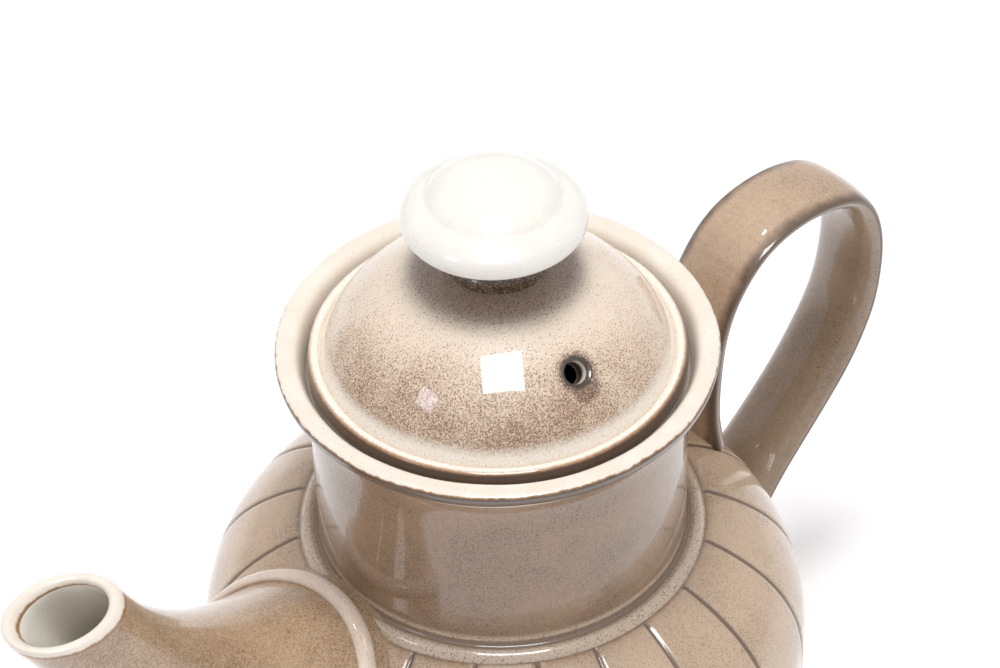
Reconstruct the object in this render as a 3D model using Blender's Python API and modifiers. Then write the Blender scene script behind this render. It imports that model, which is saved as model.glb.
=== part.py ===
"""Stoneware teapot: round bowl, tall neck, level-cut spout, strap handle, knobbed lid and a steel infuser.

Sizes are in millimetres and are scaled to metres as each mesh is made. The pot's own axis is vertical; the
handle is on +X and the spout on -X. The origin is under the middle of the overall length, at the foot.
"""
import math

import bmesh
import bpy
import numpy as np
from mathutils import Matrix, Vector

MM = 0.001
GAP = 0.3                 # clearance that touching pieces keep
STEPS = 36                # segments of every turned piece
MERGE = 0.00001           # metres

# Bowl: a superellipse turned about the pot's axis
BOWL_R = 68.9
BOWL_HALF = 43.1
BOWL_MID = 39.0
BOWL_POWER = 2.4
WALL = 4.2
FLOOR_THICK = 5.0
SHOULDER_Z = 62.0         # where the shoulder is joined on
SEAT_Z = 74.0             # flat on top of the shoulder that carries the neck
FOOT_H = 3.0
FOOT_R = 43.5
FOOT_BAND = 6.0

# Neck and rim
RIM_R = 47.5
RIM_Z = 126.0
NECK_R = 41.0
THROAT_R = 36.0
GALLERY_R = 41.3
LEDGE_Z = 118.8
BEAD_R = 46.2
BEAD_H = 2.2

# Lid and knob
LID_R = 40.7
LID_BOTTOM_Z = 121.6
ROLL_R = 38.7
DOME_R = 36.6             # where the dome meets the roll
DOME_BALL = 39.4          # radius of the dome's sphere
DOME_APEX_Z = 150.1
LID_WALL = 5.0
SKIRT_R = 33.6
SKIRT_WALL = 2.6
SKIRT_BOTTOM_Z = 109.6
STEM_FOOT_R = 10.2
STEM_WAIST_R = 8.4
STEM_Z = 148.8
KNOB_Z = 157.8
KNOB_R = 19.6
KNOB_EDGE_Z = 160.6
KNOB_STEP_R = 14.4
KNOB_STEP_Z = 166.0
KNOB_TOP_Z = 171.6
VENT_R = 2.5
VENT_REACH = 28.5
VENT_AZIMUTH = math.radians(-94)

# Spout: an upper and a lower line in its plane of symmetry, (distance from the pot's axis, height), with oval
# sections between them. Both lines start inside the bowl and end at one height, so the mouth is level.
SPOUT_UPPER = [(38.0, 76.0), (66.0, 82.0), (88.0, 93.0), (99.0, 118.9)]
SPOUT_LOWER = [(54.0, 18.0), (84.0, 24.0), (101.0, 78.0), (125.0, 118.9)]
SPOUT_MOUTH_HALF = 10.5   # half the width across the mouth
SPOUT_ROOT_SPREAD = 25.0  # how much wider each side is at the root
SPOUT_FLARE = 1.52
SPOUT_WALL = 3.3
SPOUT_RINGS = 12
SPOUT_SIDES = 24
ROOT_STANDOFF = 4.75      # height of the root bead above the bowl
ROOT_BEAD_R = 1.5
STRAINER_TILT = math.radians(14)
STRAINER_ON_BOWL = (67.6, 48.5)
STRAINER_HOLE_R = 2.75
STRAINER_PITCH = 9.0

# Handle: an oval strap along a smooth path, given as (distance from the pot's axis, height)
HANDLE_PATH = [(55.5, 60.0), (53.5, 93.0), (61.5, 114.5), (75.5, 122.6), (95.0, 121.3), (104.3, 113.5),
               (108.7, 92.0), (100.5, 66.0), (62.0, 30.0)]
STRAP_WIDTH = 19.6
STRAP_CROWN = 1.8
STRAP_BELLY = 4.6
HANDLE_REACH = 108.2

# Infuser basket
BASKET_R = 35.2
BASKET_WALL = 0.8
BASKET_RIM_R = 40.4
RIM_THICK = 0.8
GASKET_THICK = 0.9
COLLAR_H = 7.0
HOOP_H = 5.0
BASKET_BOTTOM_Z = 44.0
BASE_THICK = 1.0
SLOT_COLUMNS = 16
SLOT_ROWS = 3
SLOT_WIDTH = 3.0
SLOT_MARGIN = 5.0
BASE_HOLE_R = 2.5
BASE_HOLE_PITCH = 11.0

AXIS_X = (SPOUT_LOWER[-1][0] - HANDLE_REACH) / 2     # puts the origin under the middle of the length


# ---- scene helpers -------------------------------------------------------------------------------------

def clear_scene():
    for obj in list(bpy.data.objects):
        bpy.data.objects.remove(obj, do_unlink=True)
    for group in list(bpy.data.collections):
        bpy.data.collections.remove(group)


def new_collection(name):
    group = bpy.data.collections.new(name)
    bpy.context.scene.collection.children.link(group)
    return group


def new_material(name, colour, roughness, metallic=0.0):
    mat = bpy.data.materials.new(name)
    mat.use_nodes = True
    shader = mat.node_tree.nodes["Principled BSDF"]
    shader.inputs["Base Color"].default_value = (*colour, 1.0)
    shader.inputs["Roughness"].default_value = roughness
    shader.inputs["Metallic"].default_value = metallic
    mat.diffuse_color = (*colour, 1.0)
    return mat


def new_frame(name, parent=None):
    """An empty on the pot's axis, which is also the axis of both lift-off joints."""
    frame = bpy.data.objects.new(name, None)
    PARTS.objects.link(frame)
    frame.parent = parent
    if parent is None:
        frame.location = (AXIS_X * MM, 0.0, 0.0)
    return frame


def add_part(obj, parent, mat):
    PARTS.objects.link(obj)
    obj.parent = parent
    obj.data.materials.append(mat)
    return obj


def add_cutter(obj):
    CUTTERS.objects.link(obj)
    obj.parent = POT
    obj.hide_render = True
    obj.display_type = "WIRE"
    return obj


def cut(obj, *cutters):
    for cutter in cutters:
        mod = obj.modifiers.new("Cut " + cutter.name, "BOOLEAN")
        mod.operation = "DIFFERENCE"
        mod.solver = "EXACT"
        mod.object = cutter


# ---- outlines ------------------------------------------------------------------------------------------

def arc(centre, radius, start, end, count):
    """Points on a circle in the (radius, height) plane, from start to end in degrees."""
    angles = np.radians(np.linspace(start, end, count))
    return [(centre[0] + radius * math.cos(a), centre[1] + radius * math.sin(a)) for a in angles]


def bezier(p0, p1, p2, p3, t):
    """The point at t on a cubic Bezier curve."""
    s = 1.0 - t
    weights = (s ** 3, 3 * s * s * t, 3 * s * t * t, t ** 3)
    return tuple(sum(w * p[i] for w, p in zip(weights, (p0, p1, p2, p3))) for i in range(2))


def sweep(p0, p1, p2, p3, count):
    return [bezier(p0, p1, p2, p3, t) for t in np.linspace(0.0, 1.0, count)]


def bowl_outline(grow, top, bottom, count):
    """The bowl's side between two heights, grown outwards by grow."""
    a, b = BOWL_R + grow, BOWL_HALF + grow

    def turn(z):
        share = (z - BOWL_MID) / b
        return math.asin(math.copysign(abs(share) ** (BOWL_POWER / 2), share))

    points = []
    for t in np.linspace(turn(top), turn(bottom), count):
        r = a * abs(math.cos(t)) ** (2 / BOWL_POWER)
        points.append((r, BOWL_MID + b * math.copysign(abs(math.sin(t)) ** (2 / BOWL_POWER), math.sin(t))))
    return points


def neck_bead_outline(grow):
    """The rounded top of the bead, from the neck outwards."""
    mid = (NECK_R + GAP + BEAD_R) / 2
    half = (BEAD_R - NECK_R - GAP) / 2 + grow
    points = []
    for a in np.linspace(math.pi, 0.0, 7):
        points.append((mid + half * math.cos(a), SEAT_Z + GAP + (BEAD_H + grow) * math.sin(a) ** 0.8))
    return points


def dome_outline(radius, outer, inner, count):
    """The dome's sphere between two distances from the axis."""
    centre = DOME_APEX_Z - DOME_BALL
    start, end = math.acos(outer / radius), math.acos(inner / radius)
    return [(radius * math.cos(a), centre + radius * math.sin(a)) for a in np.linspace(start, end, count)]


# ---- solids --------------------------------------------------------------------------------------------

def turned(name, outline, closed=False, steps=STEPS):
    """A solid of revolution. The outline runs down the outer side."""
    count = len(outline)
    edges = [(i, i + 1) for i in range(count - 1)]
    if closed:
        edges.append((count - 1, 0))
    mesh = bpy.data.meshes.new(name)
    mesh.from_pydata([(r * MM, 0.0, z * MM) for r, z in outline], edges, [])
    obj = bpy.data.objects.new(name, mesh)
    screw = obj.modifiers.new("Turn", "SCREW")
    screw.axis = "Z"
    screw.steps = steps
    screw.render_steps = steps
    screw.use_merge_vertices = True
    screw.merge_threshold = MERGE
    return obj


def ring(name, inner, outer, bottom, top, steps=STEPS):
    return turned(name, [(inner, top), (outer, top), (outer, bottom), (inner, bottom)], True, steps)


def placed_pins(name, radius, length, places, sides=10):
    """One mesh of separate cylinders, each lying along the Z axis of its own matrix."""
    bm = bmesh.new()
    for place in places:
        bmesh.ops.create_cone(bm, cap_ends=True, segments=sides, radius1=radius * MM, radius2=radius * MM,
                              depth=length * MM, matrix=place)
    mesh = bpy.data.meshes.new(name)
    bm.to_mesh(mesh)
    bm.free()
    return bpy.data.objects.new(name, mesh)


def placed_boxes(name, size, places):
    bm = bmesh.new()
    for place in places:
        bmesh.ops.create_cube(bm, size=1.0, matrix=place @ Matrix.Diagonal((*[s * MM for s in size], 1.0)))
    mesh = bpy.data.meshes.new(name)
    bm.to_mesh(mesh)
    bm.free()
    return bpy.data.objects.new(name, mesh)


def mesh_from_curve(obj):
    """Turns a curve object into a mesh object with welded caps and removes the curve."""
    PARTS.objects.link(obj)
    bpy.context.view_layer.update()
    graph = bpy.context.evaluated_depsgraph_get()
    mesh = bpy.data.meshes.new_from_object(obj.evaluated_get(graph))
    bm = bmesh.new()
    bm.from_mesh(mesh)
    bmesh.ops.remove_doubles(bm, verts=bm.verts, dist=MERGE)
    bmesh.ops.recalc_face_normals(bm, faces=bm.faces)
    for face in bm.faces:
        face.smooth = True
    bm.to_mesh(mesh)
    bm.free()
    name = obj.name
    bpy.data.objects.remove(obj, do_unlink=True)
    mesh.name = name
    return bpy.data.objects.new(name, mesh)


def bead_along(name, points, radius, sides):
    """A closed round bead through points (mm)."""
    curve = bpy.data.curves.new(name, "CURVE")
    curve.dimensions = "3D"
    curve.bevel_depth = radius * MM
    curve.bevel_resolution = (sides - 4) // 2
    spline = curve.splines.new("POLY")
    spline.points.add(len(points) - 1)
    spline.use_cyclic_u = True
    for point, place in zip(spline.points, points):
        point.co = (*[v * MM for v in place], 1.0)
    return mesh_from_curve(bpy.data.objects.new(name, curve))


def closed_loft(name, rings):
    """Skins a closed series of equal rings (mm), the last joined back to the first."""
    bm = bmesh.new()
    loops = [[bm.verts.new([v * MM for v in point]) for point in ring_points] for ring_points in rings]
    for i, loop in enumerate(loops):
        following = loops[(i + 1) % len(loops)]
        for j in range(len(loop)):
            k = (j + 1) % len(loop)
            bm.faces.new((loop[j], loop[k], following[k], following[j])).smooth = True
    bmesh.ops.recalc_face_normals(bm, faces=bm.faces)
    mesh = bpy.data.meshes.new(name)
    bm.to_mesh(mesh)
    bm.free()
    return bpy.data.objects.new(name, mesh)


# ---- the pot -------------------------------------------------------------------------------------------

def make_core_cutter():
    """The pot's outer skin with the gap added: what the spout and handle are cut back to."""
    outline = [(0.0, RIM_Z), (NECK_R + GAP, RIM_Z), (NECK_R + GAP, SEAT_Z + BEAD_H)]
    outline += neck_bead_outline(GAP)[2:-1]
    outline += bowl_outline(GAP, SEAT_Z, FOOT_H + GAP, 18)
    outline.append((0.0, FOOT_H + GAP))
    return add_cutter(turned("core_cutter", outline))


def make_bowl(mat):
    """The bowl below the shoulder, with the strainer holes behind the spout."""
    under = FOOT_H + GAP
    floor = under + FLOOR_THICK
    inside = bowl_outline(-WALL, SHOULDER_Z, floor, 12)
    outline = [(0.0, floor)] + inside[::-1] + bowl_outline(0.0, SHOULDER_Z, under, 15) + [(0.0, under)]
    obj = add_part(turned("body_bowl", outline), POT, mat)
    cut(obj, make_strainer_cutter())
    return obj


def make_shoulder(mat):
    """The closed-in top of the bowl, with the flat seat for the neck and the throat through it."""
    bottom = SHOULDER_Z + GAP
    inside = bowl_outline(-WALL, SEAT_Z - WALL, bottom, 6)
    outline = [(THROAT_R, SEAT_Z - WALL), (THROAT_R, SEAT_Z)] + bowl_outline(0.0, SEAT_Z, bottom, 6)
    outline += inside[::-1]
    return add_part(turned("body_shoulder", outline, True), POT, mat)


def make_strainer_cutter():
    """Seven strainer holes through the bowl's wall, one in the middle and six around it."""
    outward = Vector((-math.cos(STRAINER_TILT), 0.0, math.sin(STRAINER_TILT)))
    middle = Vector((-STRAINER_ON_BOWL[0] * MM, 0.0, STRAINER_ON_BOWL[1] * MM))
    root = Matrix.Translation(middle) @ outward.to_track_quat("Z", "Y").to_matrix().to_4x4()
    offsets = [(0.0, 0.0)]
    for i in range(6):
        a = math.radians(60 * i)
        offsets.append((STRAINER_PITCH * math.cos(a), STRAINER_PITCH * math.sin(a)))
    places = [root @ Matrix.Translation((x * MM, y * MM, 0.0)) for x, y in offsets]
    return add_cutter(placed_pins("strainer_cutter", STRAINER_HOLE_R, 24.0, places))


def make_foot(mat):
    inner = FOOT_R - FOOT_BAND
    outline = [(inner + 0.8, FOOT_H), (FOOT_R, FOOT_H), (FOOT_R - 0.3, 0.6), (FOOT_R - 1.0, 0.0),
               (inner + 1.0, 0.0), (inner + 0.2, 0.6)]
    return add_part(turned("foot_ring", outline, True), POT, mat)


def make_neck(mat):
    bottom = SEAT_Z + GAP
    outline = [(GALLERY_R + 1.45, RIM_Z)]
    outline += arc((RIM_R - 1.2, RIM_Z - 1.2), 1.2, 90, 0, 4)
    outline += arc((RIM_R - 0.8, RIM_Z - 2.2), 0.8, 0, -80, 3)
    outline += sweep((RIM_R - 2.0, RIM_Z - 3.8), (NECK_R + 2.0, RIM_Z - 7.0), (NECK_R, RIM_Z - 9.0),
                      (NECK_R, RIM_Z - 15.0), 6)
    outline += [(NECK_R, 95.0), (NECK_R, bottom), (THROAT_R, bottom), (THROAT_R, 95.0), (THROAT_R, LEDGE_Z),
                (GALLERY_R, LEDGE_Z), (GALLERY_R, RIM_Z - 3.0)]
    return add_part(turned("neck_collar", outline, True), POT, mat)


def make_neck_bead(mat):
    return add_part(turned("neck_bead", neck_bead_outline(0.0), True), POT, mat)


def spout_point(share, angle, grow):
    """A point of the grown spout skin: share 0 is the root, share 1 the mouth, and angle 0 is on top."""
    upper = np.array(bezier(*SPOUT_UPPER, share))
    lower = np.array(bezier(*SPOUT_LOWER, share))
    middle, up = (upper + lower) / 2, (upper - lower) / 2
    half_height = np.linalg.norm(up)
    half_width = SPOUT_MOUTH_HALF + SPOUT_ROOT_SPREAD * (1.0 - share) ** SPOUT_FLARE + grow
    r, z = middle + up * math.cos(angle) * (half_height + grow) / half_height
    return Vector((-r, half_width * math.sin(angle), z))


def make_spout(mat, core):
    """The outer skin from root to mouth, then the bore back from mouth to root."""
    angles = np.linspace(0.0, 2 * math.pi, SPOUT_SIDES, endpoint=False)
    shares = np.linspace(0.0, 1.0, SPOUT_RINGS)
    rings = [[spout_point(s, a, 0.0) for a in angles] for s in shares]
    rings += [[spout_point(s, a, -SPOUT_WALL) for a in angles] for s in shares[::-1]]
    obj = add_part(closed_loft("spout", rings), POT, mat)
    cut(obj, core)
    return obj


def bowl_excess(point, grow):
    """Negative inside the bowl grown by grow, positive outside it."""
    r = math.hypot(point.x, point.y) / (BOWL_R + grow)
    z = abs(point.z - BOWL_MID) / (BOWL_HALF + grow)
    return r ** BOWL_POWER + z ** BOWL_POWER - 1.0


def make_spout_bead(mat):
    """A bead around the spout's root, at one height above the bowl all the way round."""
    points = []
    for angle in np.linspace(0.0, 2 * math.pi, 32, endpoint=False):
        low, high = 0.0, 0.6
        for _ in range(30):
            share = (low + high) / 2
            point = spout_point(share, angle, GAP + ROOT_BEAD_R)
            if bowl_excess(point, ROOT_STANDOFF) < 0.0:
                low = share
            else:
                high = share
        points.append(tuple(point))
    return add_part(bead_along("spout_bead", points, ROOT_BEAD_R, 6), POT, mat)


def make_handle(mat, core):
    """The strap: an oval section, flatter outside and fuller inside, along a clamped NURBS path."""
    section = bpy.data.curves.new("strap_section", "CURVE")
    section.dimensions = "2D"
    outline = section.splines.new("POLY")
    count = 16
    outline.points.add(count - 1)
    outline.use_cyclic_u = True
    for i, point in enumerate(outline.points):
        a = 2 * math.pi * i / count
        depth = STRAP_BELLY if math.sin(a) > 0 else STRAP_CROWN
        point.co = (STRAP_WIDTH / 2 * math.cos(a) * MM, depth * math.sin(a) * MM, 0.0, 1.0)
    section_obj = bpy.data.objects.new("strap_section", section)

    curve = bpy.data.curves.new("handle_strap", "CURVE")
    curve.dimensions = "3D"
    curve.bevel_mode = "OBJECT"
    curve.bevel_object = section_obj
    curve.use_fill_caps = True
    curve.resolution_u = 4
    spline = curve.splines.new("NURBS")
    spline.points.add(len(HANDLE_PATH) - 1)
    for point, (r, z) in zip(spline.points, HANDLE_PATH):
        point.co = (r * MM, 0.0, z * MM, 1.0)
    spline.order_u = 4
    spline.use_endpoint_u = True
    obj = mesh_from_curve(bpy.data.objects.new("handle_strap", curve))
    bpy.data.objects.remove(section_obj, do_unlink=True)
    add_part(obj, POT, mat)
    cut(obj, core)
    return obj


# ---- the lid -------------------------------------------------------------------------------------------

def make_lid_cover(mat):
    top = STEM_Z - GAP
    inner_ball = DOME_BALL - LID_WALL
    skirt_inner = SKIRT_R - SKIRT_WALL
    outline = [(0.0, top), (STEM_FOOT_R, top)]
    outline += dome_outline(DOME_BALL, DOME_R, STEM_FOOT_R + 0.8, 9)[::-1]
    outline += [(DOME_R + 0.5, 124.9)]
    outline += arc((ROLL_R, 124.4), 1.4, 120, 30, 4)
    outline += [(LID_R, 123.2), (LID_R, LID_BOTTOM_Z + 0.5), (LID_R - 0.5, LID_BOTTOM_Z)]
    outline += [(skirt_inner, LID_BOTTOM_Z)]
    outline += dome_outline(inner_ball, skirt_inner, 5.0, 8)
    outline += [(0.0, DOME_APEX_Z - LID_WALL)]
    obj = add_part(turned("lid_cover", outline), LID, mat)
    cut(obj, make_vent_cutter())
    return obj


def make_vent_cutter():
    """The steam vent, square to the dome."""
    centre = DOME_APEX_Z - DOME_BALL
    tilt = math.asin(VENT_REACH / DOME_BALL)
    place = (Matrix.Translation((0.0, 0.0, centre * MM)) @ Matrix.Rotation(VENT_AZIMUTH, 4, "Z")
             @ Matrix.Rotation(tilt, 4, "Y") @ Matrix.Translation((0.0, 0.0, DOME_BALL * MM)))
    return add_cutter(placed_pins("vent_cutter", VENT_R, 24.0, [place], 20))


def make_lid_skirt(mat):
    inner = SKIRT_R - SKIRT_WALL
    outline = [(inner, LID_BOTTOM_Z - GAP), (SKIRT_R, LID_BOTTOM_Z - GAP), (SKIRT_R, SKIRT_BOTTOM_Z + 1.0),
               (SKIRT_R - 1.0, SKIRT_BOTTOM_Z), (inner + 0.5, SKIRT_BOTTOM_Z), (inner, SKIRT_BOTTOM_Z + 0.5)]
    return add_part(turned("lid_skirt", outline, True), LID, mat)


def make_knob_stem(mat):
    top = KNOB_Z - GAP
    outline = [(0.0, top), (13.5, top)]
    outline += sweep((13.5, top - 0.6), (10.0, top - 2.0), (STEM_WAIST_R, 153.5), (STEM_WAIST_R, 151.8), 6)
    outline += [(STEM_WAIST_R + 0.5, 150.0), (STEM_FOOT_R, STEM_Z), (0.0, STEM_Z)]
    return add_part(turned("knob_stem", outline), LID, mat)


def make_knob(mat):
    outline = [(0.0, KNOB_TOP_Z)]
    outline += sweep((2.5, KNOB_TOP_Z - 0.1), (8.0, KNOB_TOP_Z - 0.6), (12.0, KNOB_TOP_Z - 2.6),
                      (KNOB_STEP_R - 0.4, KNOB_STEP_Z + 0.2), 6)
    outline += sweep((KNOB_STEP_R + 0.6, KNOB_STEP_Z - 0.4), (17.5, KNOB_STEP_Z - 1.0),
                      (KNOB_R, KNOB_EDGE_Z + 2.4), (KNOB_R, KNOB_EDGE_Z), 6)
    outline += [(KNOB_R - 1.2, KNOB_EDGE_Z - 1.4), (KNOB_R - 3.4, KNOB_Z + 0.4), (13.5, KNOB_Z),
                (0.0, KNOB_Z)]
    return add_part(turned("knob", outline), LID, mat)


# ---- the infuser ---------------------------------------------------------------------------------------

def make_infuser(steel, silicone):
    inner = BASKET_R - BASKET_WALL
    gasket_bottom = LEDGE_Z + GAP
    flange = gasket_bottom + GASKET_THICK + GAP
    add_part(ring("infuser_gasket", BASKET_R + 1.2, BASKET_RIM_R - 0.3, gasket_bottom,
                  gasket_bottom + GASKET_THICK), INFUSER, silicone)

    collar_bottom = LEDGE_Z - COLLAR_H
    outline = [(inner, flange + RIM_THICK), (BASKET_RIM_R, flange + RIM_THICK), (BASKET_RIM_R, flange),
               (BASKET_R, flange), (BASKET_R, collar_bottom), (inner, collar_bottom)]
    add_part(turned("infuser_rim", outline, True), INFUSER, steel)

    wall_top = collar_bottom - GAP
    wall_bottom = BASKET_BOTTOM_Z + BASE_THICK + GAP + HOOP_H + GAP
    wall = add_part(ring("infuser_wall", inner, BASKET_R, wall_bottom, wall_top), INFUSER, steel)
    pitch = (wall_top - wall_bottom - SLOT_MARGIN) / SLOT_ROWS
    places = []
    for row in range(SLOT_ROWS):
        z = wall_bottom + SLOT_MARGIN / 2 + pitch * (row + 0.5)
        for column in range(SLOT_COLUMNS):
            turn = Matrix.Rotation(2 * math.pi * (column + 0.5) / SLOT_COLUMNS, 4, "Z")
            places.append(turn @ Matrix.Translation((BASKET_R * MM, 0.0, z * MM)))
    cut(wall, add_cutter(placed_boxes("slot_cutter", (8.0, SLOT_WIDTH, pitch - SLOT_MARGIN), places)))

    hoop_bottom = BASKET_BOTTOM_Z + BASE_THICK + GAP
    add_part(ring("infuser_hoop", inner, BASKET_R, hoop_bottom, hoop_bottom + HOOP_H), INFUSER, steel)

    base = add_part(turned("infuser_base", [(0.0, BASKET_BOTTOM_Z + BASE_THICK),
                                            (BASKET_R, BASKET_BOTTOM_Z + BASE_THICK),
                                            (BASKET_R, BASKET_BOTTOM_Z), (0.0, BASKET_BOTTOM_Z)]),
                    INFUSER, steel)
    places = [Matrix.Translation((0.0, 0.0, BASKET_BOTTOM_Z * MM))]
    for circle in (1, 2):
        reach = BASE_HOLE_PITCH * circle
        for i in range(6 * circle):
            a = 2 * math.pi * i / (6 * circle)
            centre = (reach * math.cos(a) * MM, reach * math.sin(a) * MM, BASKET_BOTTOM_Z * MM)
            places.append(Matrix.Translation(centre))
    cut(base, add_cutter(placed_pins("base_hole_cutter", BASE_HOLE_R, 8.0, places, 6)))


clear_scene()
PARTS = new_collection("teapot")
CUTTERS = new_collection("cutters")
POT = new_frame("pot_frame")
INFUSER = new_frame("infuser_frame", POT)
LID = new_frame("lid_frame", INFUSER)

BROWN = new_material("brown_glaze", (0.30, 0.20, 0.135), 0.25)
CREAM = new_material("cream_glaze", (0.78, 0.70, 0.60), 0.2)
TAN = new_material("tan_glaze", (0.50, 0.37, 0.27), 0.25)
CLAY = new_material("bare_clay", (0.55, 0.42, 0.30), 0.8)
STEEL = new_material("steel", (0.60, 0.60, 0.60), 0.3, 1.0)
SILICONE = new_material("silicone", (0.85, 0.85, 0.83), 0.6)

core_cutter = make_core_cutter()
make_bowl(TAN)
make_shoulder(TAN)
make_foot(CLAY)
make_neck(BROWN)
make_neck_bead(TAN)
make_spout(BROWN, core_cutter)
make_spout_bead(TAN)
make_handle(TAN, core_cutter)
make_lid_cover(TAN)
make_lid_skirt(CREAM)
make_knob_stem(BROWN)
make_knob(CREAM)
make_infuser(STEEL, SILICONE)
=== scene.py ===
"""Looks for the stoneware teapot: clay skins, incised bowl, glazes, perforated infuser, light and camera.

Shapes are given in millimetres from the pot's own axis (x towards the handle, z up) and are scaled to
metres as each mesh is made. The same millimetre coordinates drive the glazes.
"""
import math

import bmesh
import bpy
import numpy as np
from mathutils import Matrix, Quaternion, Vector, noise


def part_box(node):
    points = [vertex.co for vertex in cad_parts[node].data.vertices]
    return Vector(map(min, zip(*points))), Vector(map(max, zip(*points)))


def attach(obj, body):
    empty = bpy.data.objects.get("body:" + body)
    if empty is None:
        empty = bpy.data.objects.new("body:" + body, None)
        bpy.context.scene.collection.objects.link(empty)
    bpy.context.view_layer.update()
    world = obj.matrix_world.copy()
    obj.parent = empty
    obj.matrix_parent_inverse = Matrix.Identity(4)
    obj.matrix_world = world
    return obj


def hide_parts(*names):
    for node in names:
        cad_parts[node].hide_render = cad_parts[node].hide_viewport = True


MM = 0.001
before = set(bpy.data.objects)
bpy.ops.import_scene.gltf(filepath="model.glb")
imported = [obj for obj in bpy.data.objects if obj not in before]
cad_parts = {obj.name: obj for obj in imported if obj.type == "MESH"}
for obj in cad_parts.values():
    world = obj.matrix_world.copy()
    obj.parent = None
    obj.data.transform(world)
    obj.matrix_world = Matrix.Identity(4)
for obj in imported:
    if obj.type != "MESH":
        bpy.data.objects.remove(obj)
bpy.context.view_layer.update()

# ---- sizes the skins share with the frame ----

KNOB_LOW, KNOB_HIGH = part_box("knob")
NECK_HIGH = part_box("neck_collar")[1]
BASKET_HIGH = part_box("infuser_wall")[1]
AXIS_X = (KNOB_LOW.x + KNOB_HIGH.x) / 2 / MM
RIM_Z = NECK_HIGH.z / MM
RIM_R = (NECK_HIGH.x / MM) - AXIS_X
BASKET_R = (BASKET_HIGH.x / MM) - AXIS_X

# Bowl: a superellipse turned about the axis
BOWL_R = 68.9
BOWL_HALF = 43.1
BOWL_MID = 39.0
BOWL_POWER = 2.4
WALL = 4.2
SEAT_Z = 74.0
SEAT_R = 44.5
BOWL_UNDER = 3.05
FLOOR_THICK = 5.0
FLOOR_R = 20.0
FOOT_R = 43.5

# Incised lines down the bowl
GROOVES = 20
GROOVE_START_R = 45.7
GROOVE_LOW_Z = 3.5
GROOVE_HIGH_Z = 60.0
GROOVE_DEPTH = 0.42
GROOVE_HALF = 0.62
GROOVE_SIDES = (0.0, 0.25, 0.5, 0.75, 1.05, 1.45, 2.0)      # mm from the line's middle
GROOVE_GAPS = 8
BURR_DEPTH = 0.08          # as a share of the line's depth
BURR_PLACE = 1.3
BURR_HALF = 0.35
GROOVE_TURN = math.radians(-31)

# Neck, rim and lid
NECK_R = 41.0
BEAD_EDGE_R = 45.0
THROAT_R = 36.0
GALLERY_R = 41.3
RIM_CORNER = 1.05
LEDGE_Z = 118.8
NECK_MID_Z = 95.0
LID_R = 40.7
LID_BOTTOM_Z = 121.6
ROLL_R = 39.15
ROLL_WIRE = 1.35
ROLL_Z = 124.4
DOME_R = 36.6
DOME_BALL = 39.4
DOME_APEX_Z = 150.1
DOME_FULLNESS = 0.035      # how much the foot of the dome swells past a true sphere
LID_WALL = 5.0
SKIRT_R = 33.6
SKIRT_WALL = 2.6
SKIRT_BOTTOM_Z = 109.6
VENT_R = 2.35
VENT_REACH = 28.5
VENT_AZIMUTH = math.radians(-94)

# Knob
STEM_FOOT_R = 10.2
STEM_WAIST_R = 8.4
KNOB_R = 19.6
KNOB_EDGE_Z = 160.6
KNOB_STEP_R = 14.4
KNOB_STEP_Z = 166.0
KNOB_TOP_Z = KNOB_HIGH.z / MM

# Spout: an upper and a lower line in its plane of symmetry, with oval sections between them
SPOUT_UPPER = [(38.0, 76.0), (66.0, 82.0), (88.0, 93.0), (99.0, 118.9)]
SPOUT_LOWER = [(54.0, 18.0), (84.0, 24.0), (101.0, 78.0), (125.0, 118.9)]
SPOUT_MOUTH_HALF = 10.5
SPOUT_ROOT_SPREAD = 25.0
SPOUT_FLARE = 1.52
SPOUT_WALL = 3.3
SPOUT_LIP_SHARE = 0.97
SPOUT_SIDES = 128
SPOUT_RINGS = 56
SPOUT_SUNK = 1.6           # how far the root goes into the bowl's wall
LIP_TURNS = 15
LIP_GLAZED = 12            # rings of the lip, from outside, that keep the spout's own glaze
ROOT_STANDOFF = 4.75
ROOT_BEAD_H = 1.3
ROOT_BEAD_HALF = 2.1
STRAINER_TILT = math.radians(14)
STRAINER_ON_BOWL = (67.6, 48.5)
STRAINER_HOLE_R = 2.75
STRAINER_PITCH = 9.0
STRAINER_RING = 6
STRAINER_DRILL = 24.0

# Handle strap
HANDLE_PATH = [(55.5, 60.0), (53.5, 93.0), (61.5, 114.5), (75.5, 122.6), (95.0, 121.3), (104.3, 113.5),
               (108.7, 92.0), (100.5, 66.0), (62.0, 30.0)]
STRAP_WIDTH = 19.6
STRAP_CROWN = 1.8
STRAP_BELLY = 4.6
STRAP_SIDES = 48
STRAP_RINGS = 260
STRAP_SPREAD = 0.22        # how much wider the strap is where it meets the bowl
STRAP_SUNK = 2.2

# Infuser
BASKET_WALL = 0.8
BASKET_RIM_R = 40.4
BASKET_BOTTOM_Z = 44.0
FLANGE_Z = 120.3
FLANGE_THICK = 0.8
COLLAR_BOTTOM_Z = 111.8
HOOP_TOP_Z = 50.3
MESH_HOLE = 0.32           # hole radius as a share of a cell
MESH_THICK = 0.5
WALL_CELLS = (84, 23)
FLOOR_CELLS = (24, 24)
GASKET_LOW_Z = 119.1
GASKET_HIGH_Z = 120.0
INFUSER_STEPS = 220

# How finely the turned skins are divided
FINE_STEPS = 360
KNOB_STEPS = 256
FOOT_STEPS = 320


# ---- mesh helpers ----

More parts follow.
